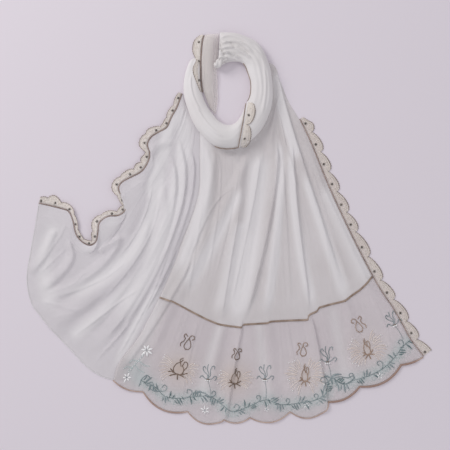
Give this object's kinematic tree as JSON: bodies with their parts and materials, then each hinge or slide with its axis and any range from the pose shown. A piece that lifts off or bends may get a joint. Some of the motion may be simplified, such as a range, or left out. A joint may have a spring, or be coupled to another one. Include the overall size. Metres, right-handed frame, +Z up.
{
  "type": "hijab",
  "caption": "White chiffon hijab shawl wound once round a neck opening and laid flat, with scalloped lace edges and a sheer embroidered border.",
  "frame": {"origin": "middle of the garment's outline, on the surface it lies on", "axes": "+Z up from the surface, +Y towards the neck ring, +X towards the laced edge of the front end"},
  "size_m": [0.7892, 0.7638, 0.0302],
  "materials": {
    "chiffon": "soft crepe chiffon, slightly sheer",
    "organza": "sheer organza with embroidery",
    "lace": "scalloped net lace with stitched edges",
    "gold_trim": "satin gold braid and piping"
  },
  "bodies": {
    "root": {"under_panel": "chiffon", "under_lace": "lace", "under_lace_cord": "gold_trim", "front_panel": "chiffon", "hem_border": "organza", "border_braid": "gold_trim", "hem_cord": "gold_trim", "front_lace": "lace", "front_lace_cord": "gold_trim", "wrap_front": "chiffon", "wrap_back": "chiffon", "wrap_lace": "lace", "wrap_lace_cord": "gold_trim", "shoulder_band": "chiffon", "band_lace": "lace", "band_lace_cord": "gold_trim"}
  },
  "joints": []
}
